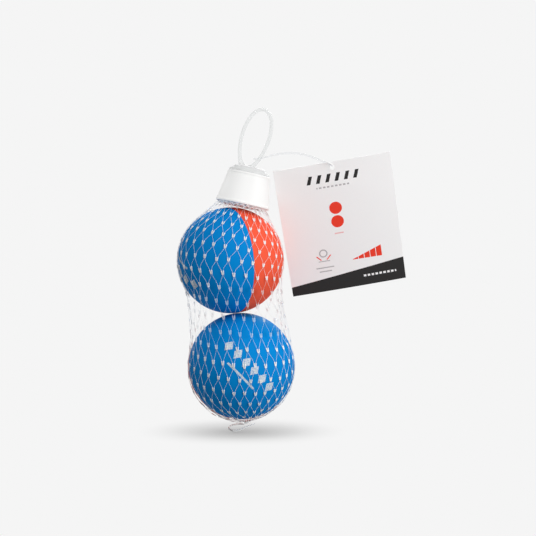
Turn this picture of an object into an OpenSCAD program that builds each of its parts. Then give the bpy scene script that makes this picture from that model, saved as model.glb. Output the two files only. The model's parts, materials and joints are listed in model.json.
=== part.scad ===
// Two hollow rubber balls held one above the other in a net sleeve, which hangs from
// a tapered closure with a loop, and carries a card tag on a clear tie.
// Millimetres, +Z up, +X to the right of a viewer who looks along +Y.
// The origin is the seat of the hanging loop, where a hook or peg carries the pack.

/* [Balls] */
// Outside diameter of each ball
ball_d = 57; // [40:0.5:70]
// Wall of the hollow rubber half shells
ball_wall = 3.7; // [2:0.1:8]
// Thickness of the adhesive layer at the seam
bond_t = 0.4; // [0.2:0.1:1]
// How far the adhesive stays below the ball's surface
bond_recess = 0.12; // [0.05:0.01:0.4]
// Running space between the two balls
ball_gap = 0.3; // [0.2:0.1:1]
// Lean of the line through both ball centres, its lower end towards +X
stack_lean = 5.9; // [0:0.1:10]
// Tilt of the upper ball's blue pole from vertical
upper_pole_tilt = 95; // [0:1:180]
// Turn of the upper ball's blue pole about vertical
upper_pole_turn = 207; // [0:1:360]
// Tilt of the lower ball's blue pole from vertical
lower_pole_tilt = 80; // [0:1:180]
// Turn of the lower ball's blue pole about vertical
lower_pole_turn = 280; // [0:1:360]

/* [Net] */
// Space between the balls and the net's strands
net_clear = 0.3; // [0.2:0.05:1]
// Thickness of the net's strands and knots
strand_t = 0.5; // [0.3:0.05:0.9]
// Width of a knot, where two strands are fused side by side
knot_w = 1.2; // [0.6:0.05:2]
// Height of a knot
knot_h = 2.2; // [1:0.1:4]
// Number of knots round the sleeve
net_columns = 20; // [12:1:24]
// Distance from one row of knots to the next
row_pitch = 9.8; // [8.5:0.1:14]
// How far the slack net draws in between the balls
waist_in = 2.8; // [1:0.1:5]
// Space between the net and the closure's wall where it enters the closure
mouth_space = 2.9; // [1.5:0.1:4]
// How far above the closure's lower rim the sleeve's last knots lie
mouth_in = 0.9; // [0.3:0.1:3]
// Radius of the net where its lower end is drawn together
tail_r = 2.4; // [2:0.1:5]
// How far below the net's lower end the curled film hangs
tail_drop = 3.4; // [1.5:0.1:6]
// Length of the curled film at the net's fused lower end
tail_len = 18; // [8:0.5:30]
// Width of the curled film
tail_w = 4; // [1:0.1:5]
// Thickness of the curled film
tail_t = 0.7; // [0.3:0.05:1.5]

/* [Closure] */
// Lean of the closure's axis from vertical, its top towards +X
closure_lean = 12; // [0:0.5:20]
// Gap between the upper ball and the closure's lower rim
cap_lift = 2.1; // [1:0.1:6]
// Height of the tapered closure
cap_h = 17.2; // [12:0.1:25]
// Diameter of the closure's lower rim
cap_low_d = 29.5; // [27:0.1:40]
// Diameter of the closure's upper rim
cap_top_d = 23.2; // [22:0.1:28]
// Wall of the closure
cap_wall = 1.3; // [0.8:0.05:2]
// Height of the plug's flange above the closure
flange_h = 3.4; // [1.5:0.1:6]
// Ledge that the closure's upper rim shows round the flange
flange_ledge = 0.6; // [0.2:0.1:1]
// Diameter of the flange's top
flange_top_d = 16.4; // [15:0.1:19]
// Depth of the net's pleats in the closure
pleat = 0.9; // [0.4:0.05:1.2]
// Wall of the pleated net
pleat_wall = 0.8; // [0.5:0.05:1.2]
// Space between the pleats and what they are squeezed between
neck_fit = 0.25; // [0.2:0.01:0.4]
// How much the plug's stem narrows towards its lower end, on its radius
stem_draft = 1.4; // [0:0.1:3]
// Length of the stem inside the closure
stem_len = 14; // [8:0.5:16]

/* [Hanging loop] */
// Height of the loop above the flange
loop_h = 33.2; // [20:0.1:50]
// Outside width of the loop
loop_w = 16.5; // [12:0.1:24]
// How far the loop's oval sinks into the flange
loop_sink = 1.8; // [1.4:0.1:3]
// Thickness of the loop's strap in the loop's plane
strap_t = 2; // [1:0.1:3]
// Depth of the strap, square to the loop's plane
strap_depth = 2.6; // [1:0.1:4]
// Extra lean of the loop past the closure's axis
loop_lean = 6; // [0:0.5:12]
// Sideways place of the loop's foot on the flange
loop_shift = -2.4; // [-3:0.1:3]

/* [Swing tag] */
// Width of the card
card_w = 64; // [40:0.5:90]
// Height of the card
card_h = 73.5; // [40:0.5:100]
// Thickness of the card
card_t = 0.5; // [0.3:0.05:1]
// Diameter of the hole in the card
hole_d = 3; // [2.6:0.1:5]
// Distance from the card's top edge to the hole's centre
hole_down = 3; // [2.5:0.1:8]
// Roll of the card in its own plane, right side up
card_roll = 9.6; // [0:0.1:20]
// Backward tilt of the card, its lower edge away from the viewer
card_tilt = 20; // [0:0.5:25]
// Diameter of the clear tie strand
tie_d = 0.6; // [0.4:0.05:0.8]
// Distance along +X from the loop's strap to the card's hole
tie_reach = 39.5; // [36:0.1:50]
// How far the card's hole lies below the tie's other end
tie_drop = 4.2; // [0:0.1:10]
// Height of the tie's springy arch
tie_rise = 5; // [1:0.1:8]
// Slack of the tie's ring in front of the strap and behind it
tie_slack = 1.9; // [1.6:0.1:3]
// Slack of the tie's ring past the strap's far side
tie_back = 2; // [1.6:0.1:3]
// Space between the tie and the edge of the card's hole
tie_clear = 0.55; // [0.3:0.05:0.6]

/* [Hidden] */
$fn = 96;
// Overrun of cuts past the faces they open
cut = 1;

// Directions of a line that leans from vertical in the XZ plane, and the one across it
function along(lean) = [sin(lean), 0, cos(lean)];
function across(lean) = [cos(lean), 0, -sin(lean)];
front_to_back = [0, 1, 0];
up = [0, 0, 1];

// Heights along the closure's axis, above the upper ball's centre
ball_r = ball_d / 2;
cap_low = ball_r + cap_lift;
cap_top = cap_low + cap_h;
flange_top = cap_top + flange_h;
function cap_inside(h) = mix(cap_low_d, cap_top_d, (h - cap_low) / cap_h) / 2 - cap_wall;

// Places, from the loop's seat down to the lower ball
loop_foot = flange_top * along(closure_lean) + loop_shift * across(closure_lean);
loop_tilt = closure_lean + loop_lean;
seat = loop_foot + (loop_h - strap_t) * along(loop_tilt);
upper_c = -seat;
lower_c = upper_c - (ball_d + ball_gap) * along(-stack_lean);

// The net's profile: its rows lie on circles round the axis of a closure, ball or stack.
// The strands are straight between knots, so the knots stand off by the strands' sag.
// The rows spread where the sleeve bends, on the side away from the closure's lean.
row_spread_share = 1.15;
chord_sag = pow(row_spread_share * row_pitch, 2) / (8 * ball_r);
net_r = ball_r + net_clear + chord_sag;
mouth = [cap_low + mouth_in, cap_inside(cap_low + mouth_in) - mouth_space];
leave_angle = atan2(mouth.y, mouth.x) + acos(net_r / norm(mouth));
waist = [(ball_d + ball_gap) / 2, ball_r - waist_in];
waist_angle = 180 - atan2(waist.y, waist.x) - acos(net_r / norm(waist));
end_angle = 180 - asin(tail_r / net_r);
radian = 180 / PI;
cone_len = sqrt(norm(mouth) * norm(mouth) - net_r * net_r);
upper_len = net_r * (waist_angle - leave_angle) / radian;
half_waist_len = sqrt(norm(waist) * norm(waist) - net_r * net_r);
lower_len = net_r * (end_angle - 180 + waist_angle) / radian;
net_len = cone_len + upper_len + 2 * half_waist_len + lower_len;
net_rows = round((net_len - knot_h) / row_pitch) + 1;
row_step = (net_len - knot_h) / (net_rows - 1);
// The largest share of the column pitch that a knot may fill where the net is gathered
knot_share = 0.6;

// The loop's outline is an oval, a little fuller above its middle
loop_points = 72;
loop_fullness_share = 0.1;
// Share of the loop's height at which the tie goes round its strap
tie_height_share = 0.18;

function mix(a, b, k) = a + (b - a) * k;
function polar(r, angle) = r * [cos(angle), sin(angle)];

// One ring of the net: centre of its sphere, lean of its axis, [height, radius] and outward normal
function net_ring(c, lean, at, angle) = [c, lean, at, polar(1, angle)];
function net_cone(s) =
    net_ring(upper_c, closure_lean, mix(mouth, polar(net_r, leave_angle), s / cone_len), leave_angle);
function net_upper(s) =
    let (angle = leave_angle + s / net_r * radian)
    net_ring(upper_c, mix(closure_lean, -stack_lean, s / upper_len), polar(net_r, angle), angle);
function net_waist_down(s) =
    net_ring(upper_c, -stack_lean,
        mix(polar(net_r, waist_angle), [-waist.x, waist.y], s / half_waist_len), waist_angle);
function net_waist_up(s) =
    net_ring(lower_c, -stack_lean,
        mix(waist, polar(net_r, 180 - waist_angle), s / half_waist_len), 180 - waist_angle);
function net_lower(s) =
    let (angle = 180 - waist_angle + s / net_r * radian)
    net_ring(lower_c, -stack_lean, polar(net_r, angle), angle);
function net_at(s) =
    s < cone_len ? net_cone(s)
    : s < cone_len + upper_len ? net_upper(s - cone_len)
    : s < cone_len + upper_len + half_waist_len ? net_waist_down(s - cone_len - upper_len)
    : s < cone_len + upper_len + 2 * half_waist_len
        ? net_waist_up(s - cone_len - upper_len - half_waist_len)
    : net_lower(s - cone_len - upper_len - 2 * half_waist_len);

// A point of the net at a ring, an angle round it and a height over the inner surface
function net_point(ring, turn, over) =
    let (at = ring[2] + over * ring[3])
    ring[0] + at.x * along(ring[1])
        + at.y * (cos(turn) * across(ring[1]) + sin(turn) * front_to_back);

// The twelve corners of a knot: upper and lower end, left, middle and right, inner and outer
function knot_corners(row, column) =
    let (
        turn = (column + (row % 2) / 2) * 360 / net_columns,
        middle = knot_h / 2 + row * row_step,
        r = net_at(middle)[2].y,
        width = min(knot_w, knot_share * 2 * PI * r / net_columns)
    )
    [for (end = [-1, 1]) for (side = [-1, 0, 1]) for (over = [0, strand_t])
        let (ring = net_at(middle + end * knot_h / 2))
        net_point(ring, turn + side * width / 2 / r * radian, over)];
function corner(row, column, end, side, layer) =
    (row * net_columns + (column + net_columns) % net_columns) * 12 + end * 6 + side * 2 + layer;

// A four-cornered face as two triangles, and the four walls between two quads
function two(a, b, c, d) = [[a, b, c], [a, c, d]];
// The quads are [left inner, left outer, right inner, right outer], the first one above
function outer_inner(a, b) = concat(two(a[1], a[3], b[3], b[1]), two(a[0], b[0], b[2], a[2]));
function left_wall(a, b) = two(a[0], a[1], b[1], b[0]);
function right_wall(a, b) = two(a[3], a[2], b[2], b[3]);
function walls(a, b) = concat(outer_inner(a, b), left_wall(a, b), right_wall(a, b));
function half_knot(row, column, end, side) =
    [for (s = [side, side + 1]) for (layer = [0, 1]) corner(row, column, end, s, layer)];
function knot_faces(row, column) =
    let (
        top_left = half_knot(row, column, 0, 0),
        top_right = half_knot(row, column, 0, 1),
        low_left = half_knot(row, column, 1, 0),
        low_right = half_knot(row, column, 1, 1)
    )
    concat(
        outer_inner(top_left, low_left), outer_inner(top_right, low_right),
        left_wall(top_left, low_left), right_wall(top_right, low_right)
    );
// The strands from a knot to its two neighbours in the row below
function strand_faces(row, column) =
    concat(
        walls(half_knot(row, column, 1, 1), half_knot(row + 1, column + row % 2, 0, 0)),
        walls(half_knot(row, column, 1, 0), half_knot(row + 1, column - 1 + row % 2, 0, 1))
    );
function end_faces(row, column, end) =
    [for (side = [0, 1])
        let (q = half_knot(row, column, end, side))
        each (end == 0 ? two(q[3], q[1], q[0], q[2]) : two(q[1], q[3], q[2], q[0]))];

// A tube swept round a closed route, one ring of corners at each of its points
function ring_points(route, i, r, sides) =
    let (
        n = len(route),
        ahead = route[(i + 1) % n] - route[(i + n - 1) % n],
        forward = ahead / norm(ahead),
        sideways = cross(forward, up) / norm(cross(forward, up)),
        other = cross(sideways, forward)
    )
    [for (k = [0:sides - 1]) route[i] + r * (cos(k * 360 / sides) * sideways + sin(k * 360 / sides) * other)];
function ring_faces(n, i, sides) =
    [for (k = [0:sides - 1])
        let (a = i * sides, b = (i + 1) % n * sides, m = (k + 1) % sides)
        each two(a + m, b + m, b + k, a + k)];

// Places of the card's hole and of the tie's ends
function loop_oval(turn, width, height) =
    [width / 2 * sin(turn) * (1 + loop_fullness_share * cos(turn)), height / 2 * cos(turn)];
oval_h = loop_h + loop_sink;
oval_mid = loop_h - oval_h / 2;
strap_turn = acos((tie_height_share * loop_h - oval_mid) / (oval_h / 2 - strap_t / 2));
strap_at = loop_oval(strap_turn, loop_w - strap_t, oval_h - strap_t) + [0, oval_mid];
strap = upper_c + loop_foot + strap_at.x * across(loop_tilt) + strap_at.y * along(loop_tilt);
hole = strap + [tie_reach, 0, -tie_drop];
// The strand bears on the upper side of the hole
tie_end = hole + (hole_d / 2 - tie_d / 2 - tie_clear) * up;
tie_span = tie_end - strap;
tie_half_gap = strap_depth / 2 + tie_slack;
tie_behind = strap_t / 2 + tie_back;
tie_points = 44;
tie_sides = 8;
// Power that turns the ring's oval into long straight sides with round ends
tie_roundness_share = 0.4;
function tie_point(turn) =
    let (
        s = mix(-tie_behind / norm(tie_span), 1, (1 - cos(turn)) / 2),
        rise = tie_rise * sin(180 * max(s, 0)),
        side = sign(sin(turn)) * pow(abs(sin(turn)), tie_roundness_share)
    )
    strap + s * tie_span + rise * up + tie_half_gap * side * front_to_back;

// The pleated neck between the closure and the plug's stem
neck_low = mouth.x + strand_t;
neck_top = cap_top - neck_fit;
neck_low_r = mouth.y + pleat;
neck_top_r = cap_inside(neck_top) - neck_fit;
neck_scale = neck_top_r / neck_low_r;
stem_top_r = (neck_low_r - pleat - pleat_wall) * neck_scale - neck_fit;
function pleats(r) =
    [for (i = [0:2 * net_columns - 1]) polar(r - pleat * (i % 2), i * 180 / net_columns)];

module closure_frame() {
    translate(upper_c)
        rotate([0, closure_lean, 0])
            children();
}

// The half of a ball above its seam
module half_shell() {
    difference() {
        sphere(r = ball_r);
        sphere(r = ball_r - ball_wall);
        translate([0, 0, bond_t / 2 - ball_d])
            cube([ball_d + cut, ball_d + cut, 2 * ball_d], center = true);
    }
}

module other_half_shell() {
    rotate([180, 0, 0])
        half_shell();
}

module bond_ring() {
    translate([0, 0, -bond_t / 2])
        difference() {
            cylinder(h = bond_t, r = ball_r - bond_recess);
            translate([0, 0, -cut])
                cylinder(h = bond_t + 2 * cut, r = ball_r - ball_wall);
        }
}

module upper_ball_frame() {
    translate(upper_c)
        rotate([0, upper_pole_tilt, upper_pole_turn])
            children();
}

module lower_ball_frame() {
    translate(lower_c)
        rotate([0, lower_pole_tilt, lower_pole_turn])
            children();
}

module upper_blue_shell() {
    color("#0072c6")
        upper_ball_frame()
            half_shell();
}

module upper_red_shell() {
    color("#ff5a46")
        upper_ball_frame()
            other_half_shell();
}

module upper_bond_ring() {
    color("#3a2c30")
        upper_ball_frame()
            bond_ring();
}

module lower_blue_shell() {
    color("#0072c6")
        lower_ball_frame()
            half_shell();
}

module lower_red_shell() {
    color("#ff5a46")
        lower_ball_frame()
            other_half_shell();
}

module lower_bond_ring() {
    color("#3a2c30")
        lower_ball_frame()
            bond_ring();
}

// Diamond cells: each knot holds two strands from above and two from below
module net_sleeve() {
    points = [for (row = [0:net_rows - 1]) for (column = [0:net_columns - 1])
        each knot_corners(row, column)];
    knots = [for (row = [0:net_rows - 1]) for (column = [0:net_columns - 1])
        each knot_faces(row, column)];
    strands = [for (row = [0:net_rows - 2]) for (column = [0:net_columns - 1])
        each strand_faces(row, column)];
    ends = [for (column = [0:net_columns - 1])
        each concat(end_faces(0, column, 0), end_faces(net_rows - 1, column, 1))];
    color("#f2f4f5")
        polyhedron(points = points, faces = concat(knots, strands, ends));
}

// The net's upper end, gathered in pleats between the closure and the plug's stem
module net_neck() {
    color("#e4e6e8")
        closure_frame()
            translate([0, 0, neck_low])
                linear_extrude(height = neck_top - neck_low, scale = neck_scale)
                    difference() {
                        polygon(pleats(neck_low_r));
                        polygon(pleats(neck_low_r - pleat_wall));
                    }
}

// The net's lower end: strands fused to a stud, and a strip of film that curls under the ball
module net_tail() {
    film_r = net_r + strand_t + tail_drop;
    film_angle = tail_len / film_r * radian;
    stud_h = film_r - ball_r - net_clear;
    color("#eef0f1")
        translate(lower_c)
            rotate([0, -stack_lean, 0]) {
                translate([0, 0, -film_r])
                    cylinder(h = stud_h, r1 = tail_w / 2, r2 = tail_r - net_clear);
                rotate([90, film_angle / 2, 0])
                    translate([0, 0, -tail_w / 2])
                        rotate([0, 0, -90])
                            rotate_extrude(angle = film_angle)
                                translate([film_r - tail_t / 2, 0])
                                    square([tail_t, tail_w]);
            }
}

module closure_cap() {
    color("#f7f7f5")
        closure_frame()
            translate([0, 0, cap_low])
                difference() {
                    cylinder(h = cap_h, d1 = cap_low_d, d2 = cap_top_d);
                    cylinder(h = cap_h, d1 = cap_low_d - 2 * cap_wall, d2 = cap_top_d - 2 * cap_wall);
                }
}

module loop_outline(width, height) {
    polygon([for (i = [0:loop_points - 1]) loop_oval(i * 360 / loop_points, width, height)]);
}

module loop_plug() {
    color("#dfe4e6") {
        closure_frame() {
            translate([0, 0, cap_top])
                cylinder(h = flange_h, d1 = cap_top_d - 2 * flange_ledge, d2 = flange_top_d);
            translate([0, 0, cap_top - stem_len])
                cylinder(h = stem_len, r1 = stem_top_r - stem_draft, r2 = stem_top_r);
        }
        translate(upper_c + loop_foot)
            rotate([0, loop_tilt, 0])
                rotate([90, 0, 0])
                    translate([0, oval_mid, -strap_depth / 2])
                        linear_extrude(height = strap_depth)
                            difference() {
                                loop_outline(loop_w, oval_h);
                                loop_outline(loop_w - 2 * strap_t, oval_h - 2 * strap_t);
                            }
    }
}

module swing_tag() {
    color("#f3f2f2")
        translate(hole)
            rotate([card_tilt, -card_roll, 0])
                rotate([90, 0, 0])
                    translate([0, 0, -card_t / 2])
                        linear_extrude(height = card_t)
                            difference() {
                                translate([-card_w / 2, hole_down - card_h])
                                    square([card_w, card_h]);
                                circle(d = hole_d);
                            }
}

module tag_tie() {
    route = [for (i = [0:tie_points - 1]) tie_point(i * 360 / tie_points)];
    points = [for (i = [0:tie_points - 1]) each ring_points(route, i, tie_d / 2, tie_sides)];
    faces = [for (i = [0:tie_points - 1]) each ring_faces(tie_points, i, tie_sides)];
    color("#e8ecee")
        polyhedron(points = points, faces = faces);
}

upper_blue_shell();
upper_red_shell();
upper_bond_ring();
lower_blue_shell();
lower_red_shell();
lower_bond_ring();
net_sleeve();
net_neck();
net_tail();
closure_cap();
loop_plug();
swing_tag();
tag_tie();
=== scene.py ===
"""Two-colour rubber balls in a knotted net sleeve, with a tapered closure, a clear hang loop and a card tag.

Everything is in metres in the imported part's frame: +Z up, the viewer looks along +Y, and the origin is
the seat of the hang loop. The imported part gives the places; the surfaces here are worked out from them.
"""

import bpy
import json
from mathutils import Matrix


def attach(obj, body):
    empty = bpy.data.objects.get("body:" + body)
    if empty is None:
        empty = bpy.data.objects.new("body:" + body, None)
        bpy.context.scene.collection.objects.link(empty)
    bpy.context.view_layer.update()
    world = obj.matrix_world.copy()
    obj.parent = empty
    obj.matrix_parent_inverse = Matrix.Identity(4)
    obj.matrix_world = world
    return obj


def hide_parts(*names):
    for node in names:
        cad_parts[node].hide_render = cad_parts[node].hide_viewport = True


bl_info = {
    "name": "Netted Ball Pack",
    "version": (1, 0, 0),
    "blender": (4, 5, 0),
    "location": "View3D > Sidebar > Ball Pack",
    "description": "Rubber balls in a net sleeve with a closure, a hang loop and a card tag",
    "category": "Object",
}

import json
import math
from functools import partial, reduce

import bmesh
import bpy
import numpy as np
from bpy.props import FloatProperty, FloatVectorProperty, IntProperty, PointerProperty, StringProperty
from bpy.types import Operator, Panel, PropertyGroup
from mathutils import Vector

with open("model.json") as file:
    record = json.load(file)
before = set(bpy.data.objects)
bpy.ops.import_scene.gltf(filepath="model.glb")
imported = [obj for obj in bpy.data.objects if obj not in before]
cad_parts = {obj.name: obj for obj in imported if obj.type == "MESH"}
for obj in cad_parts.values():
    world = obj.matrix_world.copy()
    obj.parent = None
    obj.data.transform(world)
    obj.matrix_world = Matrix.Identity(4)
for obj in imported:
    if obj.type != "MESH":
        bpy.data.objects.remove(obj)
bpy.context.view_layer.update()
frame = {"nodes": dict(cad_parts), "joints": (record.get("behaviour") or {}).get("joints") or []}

MM = 0.001
JOINTS = {joint["name"]: joint for joint in frame["joints"]}
UPPER_CENTRE = np.array(JOINTS["upper_ball_turn"]["pos_m"])
LOWER_CENTRE = np.array(JOINTS["lower_ball_turn"]["pos_m"])
STRAP_POINT = np.array(JOINTS["tie_lift"]["pos_m"])
HOLE_POINT = np.array(JOINTS["tag_swing"]["pos_m"])
CARD_NORMAL = np.array(JOINTS["tag_swing"]["axis"])
UP = np.array([0.0, 0.0, 1.0])
RIGHT = np.array([1.0, 0.0, 0.0])
TO_VIEWER = np.array([0.0, -1.0, 0.0])


# Settings that a user would change

def length(name, description, default):
    """A length in metres, shown in the scene's units."""
    return FloatProperty(name=name, description=description, default=default, unit="LENGTH", precision=5)


def place(name, description, default):
    """A point in metres."""
    return FloatVectorProperty(
        name=name, description=description, default=default, unit="LENGTH", precision=4)


def angle(name, description, default):
    """An angle, given in degrees and kept in radians."""
    return FloatProperty(name=name, description=description, default=math.radians(default), subtype="ANGLE")


def share(name, description, default):
    """A number from 0 to 1."""
    return FloatProperty(
        name=name, description=description, default=default, min=0.0, max=1.0, subtype="FACTOR")


def number(name, description, default, low, high):
    """A whole number from low to high."""
    return IntProperty(name=name, description=description, default=default, min=low, max=high)


def power(name, description, default):
    """A lamp's power in watts."""
    return FloatProperty(name=name, description=description, default=default, min=0.0, unit="POWER")


def colour(name, description, default):
    """A colour as an sRGB hex code."""
    return StringProperty(name=name, description=description, default=default)


class BallSettings(PropertyGroup):
    radius: length("Radius", "Outside radius of a ball, 0.1 mm short of touching the other", 28.6 * MM)
    wall: length("Wall", "Wall of the hollow half shells", 3.8 * MM)
    bond: length("Bond", "Thickness of the adhesive between the halves", 0.4 * MM)
    lip: length("Lip", "Depth of the lip that closes over the adhesive", 0.21 * MM)
    seam: length("Seam", "Gap that shows between the two halves", 0.06 * MM)
    edge: length("Edge", "Rounding of the halves' edges at the seam", 0.02 * MM)
    grain: length("Grain", "Size of the mould's grain, drawn coarse enough to show", 0.5 * MM)
    grain_depth: length("Grain depth", "Depth of the mould's grain", 0.03 * MM)
    bloom: length("Bloom", "Size of the faint clouds that bloom on the rubber", 14 * MM)
    pinhole: length("Pinhole", "Size of the pinholes in the stamped ink", 0.7 * MM)
    blue: colour("Blue", "Blue rubber", "#0089D8")
    red: colour("Red", "Coral red rubber", "#FA5F42")
    ink: colour("Ink", "White stamped ink", "#DCE4EA")
    bond_colour: colour("Bond colour", "Cured adhesive", "#4A3350")
    mark_count: number("Marks", "Marks in the stamp's row", 6, 2, 8)
    mark_pitch: length("Mark pitch", "Distance between the stamped marks", 6.0 * MM)
    mark_half_width: length("Mark half width", "Half the width of a stamped mark", 2.3 * MM)
    mark_half_height: length("Mark half height", "Half the height of a stamped mark", 3.3 * MM)
    rule_drop: length("Rule drop", "Distance from the marks to the stamped rule", 6.9 * MM)
    rule_length: length("Rule length", "Length of the stamped rule", 19 * MM)
    rule_height: length("Rule height", "Height of the stamped rule", 1.1 * MM)


class NetSettings(PropertyGroup):
    columns: number("Columns", "Knots round the sleeve", 28, 12, 40)
    rows: number("Rows", "Rows of knots from closure to tail", 20, 10, 30)
    centre_row: number("Centre row", "Row that crosses the upper ball's middle", 6, 0, 9)
    pitch: length("Pitch", "Distance between rows at the upper ball's middle", 6.75 * MM)
    lift: length("Lift", "Height of the strands' middle over the ball", 0.32 * MM)
    strand: length("Strand", "Half the width of a strand", 0.065 * MM)
    knot_width: length("Knot width", "Half the width of a strand in a knot", 0.33 * MM)
    knot_depth: length("Knot depth", "Half the thickness of a knot", 0.22 * MM)
    knot_height: length("Knot height", "Height of a knot", 2.1 * MM)
    knot_spread: length("Knot spread", "How far a knot's two arms part at its top", 0.56 * MM)
    full_radius: length("Full radius", "Radius of the sleeve under which its knots are smaller", 12 * MM)
    closure_lean: angle("Closure lean", "Lean of the closure's axis, its top towards +X", 12.0)
    upper_lean: angle("Upper lean", "Lean of the net's rows under the upper ball", 8.0)
    lower_lean: angle("Lower lean", "Lean of the net's rows on the lower ball", 4.0)
    lower_tip: angle("Lower tip", "How far the rows on the lower ball tip towards the viewer", 14.0)
    waist_angle: angle("Waist angle", "Angle from a ball's pole at which the net leaves it", 98.0)
    waist: length("Waist", "How far the slack net draws in between the balls", 2.7 * MM)
    waist_side: length("Waist side", "How much further it draws in on the left", 1.0 * MM)
    wrinkle: length("Wrinkle", "Depth of the slack net's wrinkles", 0.9 * MM)
    wander: length("Wander", "How far a knot strays from its even place", 0.35 * MM)
    crowd: share("Crowd", "How much closer the columns stand on the lower ball's front", 0.12)
    tail_radius: length("Tail radius", "Radius of the net where its strands are fused", 2.2 * MM)
    bunch: length("Bunch", "How far the bunched strands stand off the lower ball at the tail", 1.2 * MM)
    bunch_angle: angle("Bunch angle", "Angle from the lower ball's top at which they begin to", 72.0)
    film_width: length("Film width", "Half the width of the curled film at its bow", 0.45 * MM)
    film_end: length("Film end", "Half the width of the curled film at its right end", 0.36 * MM)
    film_depth: length("Film depth", "Half the thickness of the curled film", 0.26 * MM)
    stud_length: length("Stud length", "Length of the stud that the strands are fused to", 1.3 * MM)
    ball_clear: share("Clearness on a ball", "Light that goes through the net on a ball", 0.05)
    free_clear: share("Clearness off the balls", "Light that goes through the net where it hangs free", 0.75)
    clear_start: length("Clear start", "Height over a ball at which the net begins to be clearer", 0.6 * MM)
    clear_end: length("Clear end", "Height over a ball from which the net is at its clearest", 2.0 * MM)
    colour: colour("Net colour", "White polythene", "#FDFEFF")
    film_colour: colour("Film colour", "Fused clear film", "#FDFEFE")


class ClosureSettings(PropertyGroup):
    low: length("Low", "Height of the lower rim above the upper ball's centre", 30.6 * MM)
    height: length("Height", "Height of the closure", 17.2 * MM)
    low_radius: length("Low radius", "Radius at the lower rim", 14.75 * MM)
    top_radius: length("Top radius", "Radius at the upper rim", 11.6 * MM)
    wall: length("Wall", "Wall of the closure", 1.3 * MM)
    lip_height: length("Lip height", "Height of the lower rim's lip", 1.5 * MM)
    bead_height: length("Bead height", "Height of the upper rim's bead", 1.3 * MM)
    mouth_height: length("Mouth height", "Height above the ball's centre at which the net goes in", 31.3 * MM)
    mouth_radius: length("Mouth radius", "Radius of the net where it goes in", 12.3 * MM)
    pleat: length("Pleat", "Depth of the gathered net's pleats", 0.4 * MM)
    gather_wall: length("Gather wall", "Thickness of the gathered net", 0.7 * MM)
    gather_drop: length("Gather drop", "How far the gathered net hangs below the mouth", 1.68 * MM)
    gather_gap: length("Gather gap", "Room between the gathered net's middle and the closure", 0.55 * MM)
    colour: colour("Closure colour", "White polythene moulding", "#FBFBFA")


class LoopSettings(PropertyGroup):
    flange_height: length("Flange height", "Height of the flange on the closure", 3.4 * MM)
    flange_radius: length("Flange radius", "Radius of the flange's foot", 11.0 * MM)
    flange_top: length("Flange top", "Radius of the flange's top", 8.2 * MM)
    flange_rim: length("Flange rim", "Height of the flange's upright rim", 0.9 * MM)
    stem_length: length("Stem length", "Length of the stem in the closure", 14 * MM)
    stem_radius: length("Stem radius", "Radius of the stem's lower end", 6.3 * MM)
    stem_top: length("Stem top", "Radius of the stem's upper end", 7.7 * MM)
    height: length("Height", "Height of the loop above the flange", 33.2 * MM)
    sink: length("Sink", "How far the loop's oval goes into the flange", 1.8 * MM)
    width: length("Width", "Outside width of the loop", 16.5 * MM)
    strap: length("Strap", "Thickness of the strap in the loop's plane", 2.0 * MM)
    depth: length("Depth", "Depth of the strap, front to back", 2.6 * MM)
    lean: angle("Lean", "Lean of the loop from vertical", 18.0)
    shift: length("Shift", "Sideways place of the loop's foot", -2.4 * MM)
    fullness: share("Fullness", "How much fuller the oval is above its middle", 0.1)
    foot_growth: share("Foot growth", "How much thicker the strap is at its foot", 0.35)
    voxel: length("Voxel", "Size of the grid that fuses the loop to its flange", 0.28 * MM)
    clear: share("Clear", "Share of light that passes straight through the strap", 0.85)
    milky: share("Milky", "The same in the thick plug, which looks milky", 0.3)
    colour: colour("Loop colour", "Natural polypropylene", "#F4F5F5")


class TagSettings(PropertyGroup):
    width: length("Width", "Width of the card", 64 * MM)
    height: length("Height", "Height of the card", 73.5 * MM)
    thickness: length("Thickness", "Thickness of the card", 0.5 * MM)
    soft_edge: length("Soft edge", "Rounding of the card's cut edge", 0.08 * MM)
    hole_radius: length("Hole radius", "Radius of the round hole", 1.5 * MM)
    hole_down: length("Hole down", "Distance from the top edge to the hole", 3 * MM)
    bow: length("Bow", "How far the card's side edges bow back", 0.5 * MM)
    fibre: length("Fibre", "Size of the board's fibre, drawn coarse enough to show", 0.9 * MM)
    fibre_depth: length("Fibre depth", "Depth of the fibre under the coating", 0.02 * MM)
    tie_radius: length("Tie radius", "Radius of the clear tie", 0.3 * MM)
    tie_rise: length("Tie rise", "Height of the tie's arch", 5 * MM)
    tie_side: length("Tie side", "Half the width of the tie's ring", 3.2 * MM)
    tie_behind: length("Tie behind", "How far the ring goes past the strap", 3 * MM)
    tie_up: length("Tie up", "Height of the tie in the hole, above its centre", 0.65 * MM)
    card: colour("Card colour", "Coated white card", "#FAF9F9")
    band: colour("Band colour", "Charcoal print", "#2B2A2A")
    red: colour("Print red", "Red print", "#F0412E")
    grey: colour("Print grey", "Pale grey print", "#B9B6B8")
    pink: colour("Print pink", "Pale red print", "#F3BDBB")
    tie_colour: colour("Tie colour", "Clear nylon", "#F7F8F9")


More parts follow.
